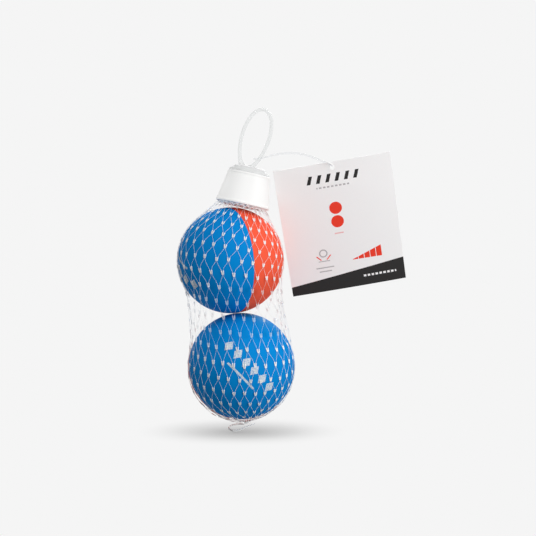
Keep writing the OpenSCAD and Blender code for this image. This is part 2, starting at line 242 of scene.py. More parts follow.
class StageSettings(PropertyGroup):
    distance: length("Distance", "Camera's distance from the pack's middle plane", 0.65)
    view_width: length("View width", "Width of the picture at the pack's middle plane", 0.2894)
    aim_x: length("Aim X", "Place of the picture's middle along X", 2.27 * MM)
    aim_z: length("Aim Z", "Place of the picture's middle along Z", -84.4 * MM)
    floor_z: length("Floor Z", "Height of the floor", -172.9 * MM)
    floor_radius: length("Floor radius", "Radius of the floor", 0.35)
    background: colour("Background", "Pale grey of the picture's background", "#F5F5F5")
    shadow: share("Shadow", "Depth of the contact shadow under the pack", 0.7)
    shadow_core: length("Shadow core", "Radius within which the contact shadow is deepest", 24 * MM)
    shadow_edge: length("Shadow edge", "Radius at which the contact shadow ends", 60 * MM)
    shadow_back: length("Shadow back", "How far the contact shadow's middle lies behind the pack's", 6 * MM)
    shadow_reach: length("Shadow reach", "How far up the floor looks for what shades it", 0.12)
    fill: FloatProperty(name="Fill", description="Strength of the even light all round", default=0.29)
    right_place: place("Right place", "Place of the light at the right", (0.39, -0.32, -0.08))
    right_size: length("Right size", "Width of the light at the right", 0.3)
    right_power: power("Right power", "Power of the light at the right", 1.34)
    top_place: place("Top place", "Place of the light above the camera", (0.04, -0.5, 0.53))
    top_size: length("Top size", "Width of the light above the camera", 0.4)
    top_power: power("Top power", "Power of the light above the camera", 2.52)
    back_place: place("Back place", "Place of the light behind the pack", (0.1, 0.7, 0.35))
    back_size: length("Back size", "Width of the light behind the pack", 0.5)
    back_power: power("Back power", "Power of the light behind the pack", 3.4)
    left_place: place("Left place", "Place of the small light at the left", (-0.5, -0.12, 0.03))
    left_size: length("Left size", "Width of the small light at the left", 0.03)
    left_power: power("Left power", "Power of the small light at the left", 0.0012)
    left_spread: angle("Left spread", "Angle of the small light's beam", 6.0)


class PackSettings(PropertyGroup):
    ball: PointerProperty(type=BallSettings)
    net: PointerProperty(type=NetSettings)
    closure: PointerProperty(type=ClosureSettings)
    loop: PointerProperty(type=LoopSettings)
    tag: PointerProperty(type=TagSettings)
    stage: PointerProperty(type=StageSettings)


# Directions and small formulas

def unit(v):
    """Vectors scaled to length 1 along their last axis."""
    v = np.asarray(v, float)
    return v / np.linalg.norm(v, axis=-1, keepdims=True)


def turned(turn, start, end):
    """The direction cos(turn) start + sin(turn) end, where start and end are square to each other."""
    return np.cos(turn)[..., None] * start + np.sin(turn)[..., None] * end


def full_turn(count):
    """Even angles round a full turn, from 0."""
    return np.linspace(0, 2 * math.pi, count, endpoint=False)


def along(lean):
    """The direction that leans from +Z towards +X by an angle."""
    return turned(lean, UP, RIGHT)


def across(lean):
    """The direction in the XZ plane square to along(lean), towards +X."""
    return turned(lean, RIGHT, -UP)


def smooth(k):
    """The curve 3k^2 - 2k^3 from 0 to 1, with level ends."""
    k = np.clip(k, 0.0, 1.0)
    return k * k * (3 - 2 * k)


def mix(a, b, k):
    """The point a share k of the way from a to b."""
    return a + (b - a) * k


# Meshes from arrays

def grid_faces(rows, columns, close_rows=False, close_columns=False):
    """Quads of a grid of points numbered row by row.

    A closed direction joins its last line to its first.
    """
    r = np.arange(rows if close_rows else rows - 1)[:, None]
    c = np.arange(columns if close_columns else columns - 1)[None, :]
    r_next = (r + 1) % rows
    c_next = (c + 1) % columns
    corners = np.broadcast_arrays(
        r * columns + c, r * columns + c_next, r_next * columns + c_next, r_next * columns + c
    )
    return np.stack(corners, -1).reshape(-1, 4)


def signed_volume(points, faces):
    """Sum over fans of triangles of a . (b x c) / 6, positive where faces point outwards."""
    total = 0.0
    for k in range(1, faces.shape[1] - 1):
        a, b, c = points[faces[:, 0]], points[faces[:, k]], points[faces[:, k + 1]]
        total += np.einsum("ij,ij->", a, np.cross(b, c))
    return total / 6


def outward(points, groups):
    """A shell's groups of faces, turned over where they point inwards."""
    middle = points.mean(0)
    inside_out = sum(signed_volume(points - middle, faces) for faces in groups) < 0
    return [faces[:, ::-1] if inside_out else faces for faces in groups]


def joined(*shells):
    """The points and face groups of several shells as those of one mesh, each shell facing outwards."""
    all_points, all_groups, first = [], [], 0
    for points, *groups in shells:
        points = points.reshape(-1, 3)
        all_groups += [faces + first for faces in outward(points, groups)]
        all_points.append(points)
        first += len(points)
    return np.concatenate(all_points), all_groups


def make_piece(name, points, face_groups, material, body, sharp=math.radians(40)):
    """A closed mesh from points and arrays of faces, turned outwards, with poles and seams merged."""
    points = np.asarray(points, float).reshape(-1, 3)
    face_groups = outward(points, face_groups)
    corners = np.concatenate([faces.ravel() for faces in face_groups])
    sizes = np.concatenate([np.full(len(faces), faces.shape[1]) for faces in face_groups])
    mesh = bpy.data.meshes.new(name)
    mesh.vertices.add(len(points))
    mesh.vertices.foreach_set("co", points.astype(np.float32).ravel())
    mesh.loops.add(len(corners))
    mesh.loops.foreach_set("vertex_index", corners.astype(np.int32))
    mesh.polygons.add(len(sizes))
    mesh.polygons.foreach_set("loop_start", np.concatenate([[0], np.cumsum(sizes)[:-1]]).astype(np.int32))
    mesh.update(calc_edges=True)
    whole = bmesh.new()
    whole.from_mesh(mesh)
    bmesh.ops.remove_doubles(whole, verts=whole.verts, dist=1e-7)
    bmesh.ops.dissolve_degenerate(whole, edges=whole.edges, dist=1e-8)
    whole.to_mesh(mesh)
    whole.free()
    mesh.shade_smooth()
    mesh.set_sharp_from_angle(angle=sharp)
    piece = bpy.data.objects.new(name, mesh)
    bpy.context.scene.collection.objects.link(piece)
    piece.data.materials.append(material)
    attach(piece, body)
    return piece


def point_array(mesh):
    """A mesh's points as an array of rows x, y, z."""
    points = np.empty(len(mesh.vertices) * 3, np.float32)
    mesh.vertices.foreach_get("co", points)
    return points.reshape(-1, 3).astype(float)


def add_attribute(piece, name, values):
    """Keeps one vector for each point of a piece, for its material to read."""
    attribute = piece.data.attributes.new(name, "FLOAT_VECTOR", "POINT")
    attribute.data.foreach_set("vector", np.asarray(values, np.float32).ravel())


def rounded(outline, radii, steps=7):
    """A closed outline whose corners B become parabolas (1-t)^2 A + 2t(1-t) B + t^2 C.

    A and C lie a corner's radius before and after it on its two sides.
    """
    corner = np.asarray(outline, float)
    reach = np.broadcast_to(radii, len(corner))[:, None]
    a = (corner + unit(np.roll(corner, 1, 0) - corner) * reach)[:, None]
    c = (corner + unit(np.roll(corner, -1, 0) - corner) * reach)[:, None]
    t = np.linspace(0, 1, steps)[None, :, None]
    return ((1 - t) ** 2 * a + 2 * t * (1 - t) * corner[:, None] + t ** 2 * c).reshape(-1, 2)


def lathe(profile, centre, axis, side, sides=144):
    """Points centre + h axis + r (cos a side + sin a other) for each (h, r) of a profile and angle a."""
    height, radius = profile[:, None, :1], profile[:, None, 1:]
    return centre + height * axis + radius * turned(full_turn(sides), side, np.cross(axis, side))


def sweep(path, normal, width, depth, sides, power=1.0):
    """Tubes along paths: p + w |cos a|^power lateral + d |sin a|^power normal, on the last two axes.

    A path's direction comes from its neighbouring points, lateral is direction x normal, and a power
    under 1 squares the section.
    """
    direction = unit(np.gradient(path, axis=-2))
    lateral = unit(np.cross(direction, normal))
    normal = np.cross(lateral, direction)
    turn = full_turn(sides)
    c, s = np.cos(turn), np.sin(turn)
    c = (np.sign(c) * np.abs(c) ** power)[:, None]
    s = (np.sign(s) * np.abs(s) ** power)[:, None]
    width, depth = np.asarray(width)[..., None, None], np.asarray(depth)[..., None, None]
    return path[..., None, :] + width * c * lateral[..., None, :] + depth * s * normal[..., None, :]


# Materials

# Noise of two octaves, with the finer one a little strong
MOTTLE = {"Detail": 2.0, "Roughness": 0.55}
# The rubber's brightness over its bloom, how far its grain drifts from that, and its roughness over the grain
BLOOM_TONES = (0.94, 1.04)
GRAIN_TONE = 0.03
GRAIN_ROUGHNESS = (0.55, 0.7)
# Where the stamp's noise is under this level there is a pinhole; the ink's cover there and elsewhere
PINHOLE_LEVEL = 0.43
INK_COVER = (0.45, 0.92)
# How far a plastic's shade and roughness drift, and how much wider its haze is than its ripples
SHADE_DRIFT = 0.03
ROUGH_DRIFT = 0.06
HAZE_SPAN = 4
# The card's brightness and roughness over its fibre
FIBRE_TONES = (0.985, 1.015)
FIBRE_ROUGHNESS = (0.42, 0.56)


def hex_colour(code, alpha=1.0):
    """Turns an sRGB hex code to the linear colour that the shaders take."""
    srgb = np.array([int(code[k:k + 2], 16) for k in (1, 3, 5)]) / 255
    linear = np.where(srgb <= 0.04045, srgb / 12.92, ((srgb + 0.055) / 1.055) ** 2.4)
    return (*linear.tolist(), alpha)


def add_node(tree, kind, *values, **settings):
    """Adds a shader node with its settings and links.

    The values fill its open sockets in order. A setting whose name starts with a capital is a socket,
    with underscores for spaces, and any other is a property. A node given as a value links its first
    open output.
    """
    node = tree.nodes.new("ShaderNode" + kind)
    sockets = {key.replace("_", " "): value for key, value in settings.items() if key[0].isupper()}
    for key, value in settings.items():
        if key[0].islower():
            setattr(node, key, value)
    filled = list(zip([socket for socket in node.inputs if socket.enabled], values))
    filled += [(node.inputs[key], value) for key, value in sockets.items()]
    for socket, value in filled:
        if isinstance(value, bpy.types.Node):
            value = next(output for output in value.outputs if output.enabled)
        if isinstance(value, bpy.types.NodeSocket):
            tree.links.new(value, socket)
        else:
            socket.default_value = value
    return node


def new_material(name):
    """An empty node material, and add_node for its tree."""
    material = bpy.data.materials.new(name)
    material.use_nodes = True
    material.node_tree.nodes.clear()
    return material, partial(add_node, material.node_tree)


def stamp_mask(node, ball):
    """1 where the stamp's ink lies: a row of diamonds and a rule under it, in millimetres.

    A diamond is |u| / half width + |v| / half height < 1 in its cell of the row.
    """
    u, v, facing = node("SeparateXYZ", node("Attribute", attribute_name="stamp").outputs["Vector"]).outputs
    pitch = ball.mark_pitch / MM
    in_cell = node("Math", u, pitch, operation="FLOORED_MODULO")
    off_middle = node("Math", in_cell, pitch / 2, operation="SUBTRACT")
    from_middle = node("Math", off_middle, operation="ABSOLUTE")
    up_mark = node("Math", v, operation="ABSOLUTE")
    across_share = node("Math", from_middle, ball.mark_half_width / MM, operation="DIVIDE")
    up_share = node("Math", up_mark, ball.mark_half_height / MM, operation="DIVIDE")
    both_shares = node("Math", across_share, up_share, operation="ADD")
    diamond = node("Math", both_shares, 1.0, operation="LESS_THAN")
    in_row = node("Math", u, 0.0, ball.mark_count * pitch / 2, operation="COMPARE")
    marks = node("Math", diamond, in_row, operation="MULTIPLY")
    rule_across = node("Math", u, 0.0, ball.rule_length / MM / 2, operation="COMPARE")
    rule_up = node("Math", v, -ball.rule_drop / MM, ball.rule_height / MM / 2, operation="COMPARE")
    rule = node("Math", rule_across, rule_up, operation="MULTIPLY")
    inked = node("Math", marks, rule, operation="MAXIMUM")
    in_front = node("Math", facing, 0.0, operation="GREATER_THAN")
    return node("Math", inked, in_front, operation="MULTIPLY")


def rubber_material(name, base, ball, stamped=False):
    """Natural rubber compound, press moulded: a dull, slightly dusty skin with the mould's fine grain."""
    material, node = new_material(name)
    spot = node("TexCoord").outputs["Object"]
    # Bloom lies on the rubber in wide faint clouds, and the grain mottles it finely
    bloom = node("TexNoise", Vector=spot, Scale=1 / ball.bloom, **MOTTLE)
    grain = node("TexNoise", Vector=spot, Scale=1 / ball.grain, **MOTTLE)
    bloom_tone = node("MapRange", bloom, 0.0, 1.0, *BLOOM_TONES)
    grain_tone = node("MapRange", grain, 0.0, 1.0, -GRAIN_TONE, GRAIN_TONE)
    tone = node("Math", bloom_tone, grain_tone, operation="ADD")
    skin = node("HueSaturation", Value=tone, Color=hex_colour(base))
    if stamped:
        # Pad-printed ink breaks up on the grain, so pinholes of rubber show in it
        speckle = node("TexNoise", Vector=spot, Scale=1 / ball.pinhole, **MOTTLE)
        whole = node("Math", speckle, PINHOLE_LEVEL, operation="GREATER_THAN")
        cover = node("MapRange", whole, 0.0, 1.0, *INK_COVER)
        ink = node("Math", stamp_mask(node, ball), cover, operation="MULTIPLY")
        skin = node("Mix", ink, skin, hex_colour(ball.ink), data_type="RGBA")
    dimple = node("Bump", Height=grain, Distance=ball.grain_depth, Strength=0.6)
    # A dusty skin scatters nearly all of its gloss
    rough = node("MapRange", grain, 0.0, 1.0, *GRAIN_ROUGHNESS)
    shader = node(
        "BsdfPrincipled", Base_Color=skin, Roughness=rough, Normal=dimple, IOR=1.5, Specular_IOR_Level=0.05)
    node("OutputMaterial", shader)
    return material


def plastic_material(name, base, rough, ripple, ripple_depth, clear=0.0, ior=1.49, gloss=0.35):
    """Moulded or extruded polyolefin or nylon: a waxy skin, whose gloss and shade drift with the flow.

    Ripple is the width of the flow's ripples, and clear the share of light that goes straight through.
    """
    material, node = new_material(name)
    spot = node("TexCoord").outputs["Object"]
    flow = node("TexNoise", Vector=spot, Scale=1 / ripple, **MOTTLE)
    haze = node("TexNoise", Vector=spot, Scale=1 / (HAZE_SPAN * ripple), **MOTTLE)
    shade = node("MapRange", haze, 0.0, 1.0, 1 - SHADE_DRIFT, 1 + SHADE_DRIFT)
    skin = node("HueSaturation", Value=shade, Color=hex_colour(base))
    roughness = node("MapRange", flow, 0.0, 1.0, rough - ROUGH_DRIFT, rough + ROUGH_DRIFT)
    ripples = node("Bump", Height=flow, Distance=ripple_depth, Strength=0.5)
    shader = node(
        "BsdfPrincipled", Base_Color=skin, Roughness=roughness, Normal=ripples, IOR=ior,
        Transmission_Weight=clear, Specular_IOR_Level=gloss,
    )
    node("OutputMaterial", shader)
    return material


def vary_clearness(material, value, start, end, low, high):
    """Sets how much light a plastic lets through: low up to the value's start, and high from its end."""
    clear = add_node(material.node_tree, "MapRange", value, start, end, low, high)
    shader = next(found for found in material.node_tree.nodes if found.type == "BSDF_PRINCIPLED")
    material.node_tree.links.new(clear.outputs["Result"], shader.inputs["Transmission Weight"])


# Boxes printed on the card, in millimetres from its hole: middle x, middle y, width, height
HEADING = (-0.6, -5.6, 40.0, 4.6)
SUBHEADING = (-1.2, -10.5, 18.0, 0.9)
CAPTION = (-1.4, -37.6, 5.0, 0.7)
GROUND = (-11.8, -52.6, 6.4, 0.5)
NOTES = ((-11.8, -56.4, 10.0, 0.6), (-11.8, -58.6, 7.0, 0.6))
BAND_LINE = (17.6, -64.9, 19.0, 1.2)
# Other print: middles, sizes and slopes, in millimetres
DISCS = ((-1.4, -23.0), (-1.4, -30.8))
DISC_RADIUS = 3.5
RING = (-11.8, -48.0)
RING_RADIUS = 2.0
RING_LINE = 0.35
ARMS = ((-14.6, -50.6, -1.1), (-9.0, -50.6, 1.1))
ARM_LINE = 0.45
ARM_HALF_HEIGHT = 1.3
ARM_HALF_SPAN = 4.2
# The band's upper edge climbs from 65.1 to 57.7 mm below the hole across the card
BAND_TOP = (0.0, -61.4, 0.1155)
STROKE_PITCH = 5.1
STROKE_WIDTH = 2.0
STROKE_SLANT = 0.35
STROKE_START = -12.4
STROKE_HALF_SPAN = 13.8
DASH_PITCH = 2.2
DASH_LENGTH = 1.4
# A gauge of steps that widens to the right, cut by narrow gaps
GAUGE_POINT = (3.4, -54.4)
GAUGE_SLOPES = (-0.02, 0.36)
GAUGE_MIDDLE = 12.0
GAUGE_HALF_SPAN = 8.4
GAUGE_STEP = 3.36
GAUGE_GAP = 0.35


def card_masks(node):
    """The card's printed shapes as masks by their ink's name, and 1 on the card's front.

    The shapes lie on the card's own axes x and y, in millimetres from the hole.
    """
    x, y, facing = node("SeparateXYZ", node("Attribute", attribute_name="card").outputs["Vector"]).outputs
    plane = node("CombineXYZ", x, y)

    def both(first, second):
        """1 where both masks are."""
        return node("Math", first, second, operation="MULTIPLY")

    def any_of(*masks):
        """1 where one of the masks is."""
        return reduce(lambda first, second: node("Math", first, second, operation="MAXIMUM"), masks)

    def box(x_mid, y_mid, width, height):
        """1 in a rectangle."""
        inside = node("Math", x, x_mid, width / 2, operation="COMPARE")
        return both(inside, node("Math", y, y_mid, height / 2, operation="COMPARE"))

    def away(middle):
        """Distance from a point."""
        return node("VectorMath", plane, (*middle, 0.0), operation="DISTANCE")

    def height_over(x_mid, y_mid, slope):
        """y above a slanted line through a point."""
        line = node("Math", x, slope, y_mid - slope * x_mid, operation="MULTIPLY_ADD")
        return node("Math", y, line, operation="SUBTRACT")

    def dashes(along_row, pitch, dash):
        """1 on the dashes of a row."""
        in_pitch = node("Math", along_row, pitch, operation="FLOORED_MODULO")
        return node("Math", in_pitch, dash, operation="LESS_THAN")

    band = node("Math", height_over(*BAND_TOP), 0.0, operation="LESS_THAN")
    slanted = node("Math", y, -STROKE_SLANT, x, operation="MULTIPLY_ADD")
    from_first = node("Math", slanted, STROKE_START, operation="SUBTRACT")
    in_strokes = node("Math", from_first, STROKE_HALF_SPAN, STROKE_HALF_SPAN, operation="COMPARE")
    strokes = both(dashes(from_first, STROKE_PITCH, STROKE_WIDTH), in_strokes)
    discs = [node("Math", away(middle), DISC_RADIUS, operation="LESS_THAN") for middle in DISCS]
    over_low, over_high = [height_over(*GAUGE_POINT, slope) for slope in GAUGE_SLOPES]
    above_low = node("Math", over_low, 0.0, operation="GREATER_THAN")
    below_high = node("Math", over_high, 0.0, operation="LESS_THAN")
    wedge = both(above_low, below_high)
    in_gauge = node("Math", x, GAUGE_MIDDLE, GAUGE_HALF_SPAN, operation="COMPARE")
    from_gauge = node("Math", x, GAUGE_MIDDLE - GAUGE_HALF_SPAN, operation="SUBTRACT")
    gap = dashes(from_gauge, GAUGE_STEP, GAUGE_GAP)
    steps = both(in_gauge, node("Math", 1.0, gap, operation="SUBTRACT"))
    gauge = both(wedge, steps)
    ring = node("Math", away(RING), RING_RADIUS, RING_LINE, operation="COMPARE")
    arm_lines = [node("Math", height_over(*arm), 0.0, ARM_LINE, operation="COMPARE") for arm in ARMS]
    arms = both(any_of(*arm_lines), box(RING[0], ARMS[0][1], 2 * ARM_HALF_SPAN, 2 * ARM_HALF_HEIGHT))
    dashed = dashes(x, DASH_PITCH, DASH_LENGTH)
    notes = [box(*note) for note in NOTES]
    masks = {
        "band": any_of(band, both(box(*HEADING), strokes)),
        "red": any_of(*discs, gauge, arms),
        "grey": any_of(both(box(*SUBHEADING), dashed), ring, box(*GROUND), *notes),
        "pink": box(*CAPTION),
        "card": both(box(*BAND_LINE), dashed),
    }
    return masks, facing


def card_material(tag):
    """Coated white board, offset printed on its front: a smooth satin face with a trace of fibre."""
    material, node = new_material("coated_card_printed")
    spot = node("TexCoord").outputs["Object"]
    fibre = node("TexNoise", Vector=spot, Scale=1 / tag.fibre, Detail=4.0, Roughness=0.55)
    tone = node("MapRange", fibre, 0.0, 1.0, *FIBRE_TONES)
    paper = node("HueSaturation", Value=tone, Color=hex_colour(tag.card))
    masks, facing = card_masks(node)
    for ink, mask in masks.items():
        on_front = node("Math", mask, facing, operation="MULTIPLY")
        paper = node("Mix", on_front, paper, hex_colour(getattr(tag, ink)), data_type="RGBA")
    # The coating fills the fibre, so the sheen is even and low
    rough = node("MapRange", fibre, 0.0, 1.0, *FIBRE_ROUGHNESS)
    tooth = node("Bump", Height=fibre, Distance=tag.fibre_depth, Strength=0.4)
    shader = node(
        "BsdfPrincipled", Base_Color=paper, Roughness=rough, Normal=tooth, IOR=1.5, Specular_IOR_Level=0.15)
    node("OutputMaterial", shader)
    return material


# The balls

# Rows of a half shell's outer and inner surface
OUTER_ROWS = 60
INNER_ROWS = 30
# Angle above the seam at which a half's outer surface gives way to its lip, in radians
LIP_TURN = 0.006
# A direction that no ball's axis lies along, to start a half's turn from
ASKEW = np.array([0.31, 0.52, 0.79])
# Where each ball's stamp lies and along which line it reads, as directions from the ball's centre
STAMPS = {
    "upper": (np.array([-0.953, -0.231, -0.194]), np.array([-0.302, 0.788, 0.537])),
    "lower": (np.array([0.186, -0.98, 0.07]), np.array([0.707, 0.0, -0.707])),
}


def ball_pole(name):
    """The ball's axis towards its blue half: its bond ring's normal, turned to the blue shell's side."""
    ring = point_array(frame["nodes"][f"{name}_bond_ring"].data)
    normal = np.linalg.svd(ring - ring.mean(0), full_matrices=False)[2][-1]
    blue = point_array(frame["nodes"][f"{name}_blue_shell"].data).mean(0)
    red = point_array(frame["nodes"][f"{name}_red_shell"].data).mean(0)
    return normal * np.sign(normal @ (blue - red))


def half_shell_points(centre, pole, ball):
    """A hollow half shell turned about its pole.

    Its profile runs on the outer circle to a lip at the seam, steps back round the bond's edge, crosses
    the bonded face and returns on the inner circle.
    """
    outer, inner = ball.radius, ball.radius - ball.wall
    low = math.asin(ball.seam / 2 / outer)
    turn = np.linspace(math.pi / 2, low + LIP_TURN, OUTER_ROWS)
    out_arc = outer * np.stack([np.sin(turn), np.cos(turn)], -1)
    seam_radius = outer * math.cos(low)
    bond_radius = outer - ball.lip
    lip = np.array([
        (ball.seam / 2 + ball.edge, seam_radius), (ball.seam / 2, seam_radius - ball.edge),
        (ball.seam / 2, bond_radius + ball.edge), (ball.bond / 2, bond_radius),
    ])
    turn = np.linspace(math.asin(ball.bond / 2 / inner), math.pi / 2, INNER_ROWS)
    in_arc = inner * np.stack([np.sin(turn), np.cos(turn)], -1)
    profile = np.concatenate([out_arc, lip, in_arc])
    profile[[0, -1], 1] = 0.0
    return lathe(profile, centre, pole, unit(np.cross(pole, ASKEW)))


def stamp_axes(middle, line):
    """The stamp's right, up and outward directions as columns, from its middle and its line of reading."""
    out = unit(middle)
    right = unit(line - (line @ out) * out)
    return np.stack([right, np.cross(out, right), out], -1)


def make_ball(name, centre, settings):
    """Both halves of one ball, and the finish of its bond ring."""
    ball = settings.ball
    pole = ball_pole(name)
    blue = rubber_material(f"{name}_blue_rubber_moulded", ball.blue, ball, stamped=True)
    red = rubber_material(f"{name}_red_rubber_moulded", ball.red, ball)
    for shade, direction, material in (("blue", pole, blue), ("red", -pole, red)):
        points = half_shell_points(centre, direction, ball)
        faces = grid_faces(*points.shape[:2], False, True)
        piece = make_piece(
            f"{name}_{shade}_half", points, [faces], material, f"{name}_ball")
        local = (point_array(piece.data) - centre) / MM
        add_attribute(piece, "stamp", local @ stamp_axes(*STAMPS[name]))
        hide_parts(f"{name}_{shade}_shell")
    ring = frame["nodes"][f"{name}_bond_ring"]
    ring.data.materials.clear()
    ring.data.materials.append(rubber_material(f"{name}_rubber_cement_cured", ball.bond_colour, ball))


# The net

# The slack net's wrinkles: waves round the waist, their height, their phase and their twist down the waist
WRINKLES = ((5, 1.0, 0.8, 3.0), (9, 0.6, 0.0, -4.0), (14, 0.4, 2.0, 0.0))
# The bunched strands' layers: waves round the tail, their phase and depth, and how much more is on the left
LAYER_WAVES = 11
LAYER_PHASE = 1.0
LAYER_DEPTH = 0.45
LAYER_LEFT = 0.25
# Where a strand has its samples, as shares of its free length and then of its knot
FREE_SAMPLES = 7
FREE_SHARES = np.linspace(0, 1, FREE_SAMPLES)
KNOT_SHARES = np.array([0.12, 0.32, 0.58, 0.82, 1.0])
# How much of a strand's swing to the side is eased at its ends
SWING_EASE = 0.65
# A strand starts off its knot's middle, towards where it swings, and its arm closes by this share at its end
ARM_START = -0.25
ARM_CLOSE = 0.5
# A strand's depth over its width
STRAND_FLATNESS = 0.9
# The share of a strand at which its knot's foot begins, and what the foot loses in size
FOOT_START = 0.93
FOOT_LOSS = 0.25
# The smallest size of a knot where the sleeve is narrow
LEAST_ROOM = 0.25
# Seed of the knots' straying
SEED = 7


def sleeve_profile(settings):
    """The sleeve's radius on a ball, its angles there, and its four lengths.

    The lengths are the cone from the closure, the upper ball, the slack waist and the lower ball.
    """
    net, closure = settings.net, settings.closure
    radius = settings.ball.radius + net.lift
    mouth = math.hypot(closure.mouth_height, closure.mouth_radius)
    leave = math.atan2(closure.mouth_radius, closure.mouth_height) + math.acos(radius / mouth)
    end = math.pi - math.asin(net.tail_radius / radius)
    gap = float(np.linalg.norm(UPPER_CENTRE - LOWER_CENTRE))
    lengths = [
        math.sqrt(mouth ** 2 - radius ** 2),
        radius * (net.waist_angle - leave),
        gap + 2 * radius * math.cos(net.waist_angle),
        radius * (end - (math.pi - net.waist_angle)),
    ]
    return {"radius": radius, "leave": leave, "end": end, "lengths": lengths}


def upper_place(settings, profile, polar, turn):
    """Point and normal on the upper ball at an angle from the rows' axis, which leans less further down."""
    net = settings.net
    k = (polar - profile["leave"]) / (net.waist_angle - profile["leave"])
    lean = mix(net.closure_lean, net.upper_lean, smooth(k))
    out = turned(polar, along(lean), turned(turn, across(lean), -TO_VIEWER))
    return UPPER_CENTRE + profile["radius"] * out, out


def lower_place(settings, profile, polar, turn):
    """Point and normal on the lower ball at an angle from the rows' axis, which leans and tips to the viewer.

    The tail hangs on the line through both balls, so the axis turns to it as the angle nears its end.
    """
    net = settings.net
    stack = unit(UPPER_CENTRE - LOWER_CENTRE)
    stack_lean = math.atan2(stack[0], stack[2])
    meet = math.pi - net.waist_angle
    k = (polar - meet) / (profile["end"] - meet)
    lean = mix(net.lower_lean, stack_lean, smooth(k))
    tip = net.lower_tip * (1 - np.clip(k, 0, 1) ** 3)
    axis = turned(tip, along(lean), TO_VIEWER)
    side = across(lean)
    crowded = turn - net.crowd * np.cos(turn)
    out = turned(polar, axis, turned(crowded, side, np.cross(axis, side)))
    # Where the strands bunch towards the tail they stack up in layers off the ball, most on the left
    bunched = smooth((polar - net.bunch_angle) / (profile["end"] - net.bunch_angle))
    layer = mix(1.0, np.cos(LAYER_WAVES * turn + LAYER_PHASE), LAYER_DEPTH)
    radius = profile["radius"] + net.bunch * bunched * layer * (1 - LAYER_LEFT * np.cos(turn))
    return LOWER_CENTRE + radius[..., None] * out, out


def sleeve(settings, profile, s, turn):
    """Point and outward normal of the net's surface at a length s below the mouth and an angle round it.

    On a ball it is the ball's sphere. Above, it is the line that leaves the sphere to the closure's
    mouth. Between the balls it is the straight line from one sphere to the other, drawn in by a half
    sine and wrinkled by sines of the angle.
    """
    net = settings.net
    radius, leave = profile["radius"], profile["leave"]
    cone, upper, waist, lower = profile["lengths"]
    upper_polar = leave + np.clip(s - cone, 0, upper) / radius
    on_upper, up_out = upper_place(settings, profile, upper_polar, turn)
    mouth_ring = turned(turn, across(net.closure_lean), -TO_VIEWER)
    down = turned(leave + math.pi / 2, along(net.closure_lean), mouth_ring)
    in_cone = on_upper - down * np.maximum(cone - s, 0)[..., None]
    lower_polar = math.pi - net.waist_angle + np.clip(s - cone - upper - waist, 0, lower) / radius
    on_lower, low_out = lower_place(settings, profile, lower_polar, turn)
    k = np.clip((s - cone - upper) / waist, 0, 1)
    free_out = unit(mix(up_out, low_out, k[..., None]))
    slack = np.sin(math.pi * k)
    draw = net.waist - net.waist_side * np.cos(turn)
    folds = sum(height * np.sin(waves * turn + phase + twist * k) for waves, height, phase, twist in WRINKLES)
    inward = slack * draw + slack ** 2 * net.wrinkle * folds
    free = mix(on_upper, on_lower, k[..., None]) - inward[..., None] * free_out
    point = np.where((s < cone + upper)[..., None], in_cone, free)
    # Where the slack net would cut through a ball it lies on it
    for centre in (UPPER_CENTRE, LOWER_CENTRE):
        away = point - centre
        distance = np.linalg.norm(away, axis=-1, keepdims=True)
        point = centre + away * np.maximum(1.0, radius / distance)
    return point, free_out


def knot_places(settings, profile):
    """Each knot's length below the mouth and angle round the sleeve, as rows and columns.

    The centre row crosses the upper ball's middle, and the cells grow longer towards the tail. Every
    other row is half a column round, and each knot strays a little.
    """
    net = settings.net
    last = sum(profile["lengths"]) - net.knot_height / 2
    row = np.arange(net.rows + 1)
    middle_s = profile["lengths"][0] + profile["radius"] * (math.pi / 2 - profile["leave"])
    below = row - net.centre_row
    growth = (last - middle_s - net.pitch * below[-1]) / below[-1] ** 2
    row_s = np.clip(middle_s + (net.pitch + growth * below) * below, 0, last)
    column = np.arange(net.columns) + 0.5 * (row[:, None] % 2)
    turn = column * 2 * math.pi / net.columns - math.pi / 2
    stray = np.random.default_rng(SEED).uniform(-1, 1, (2, *turn.shape)) * net.wander
    stray[:, [0, -1]] = 0.0
    return row_s[:, None] + stray[1], turn + stray[0] / profile["radius"]


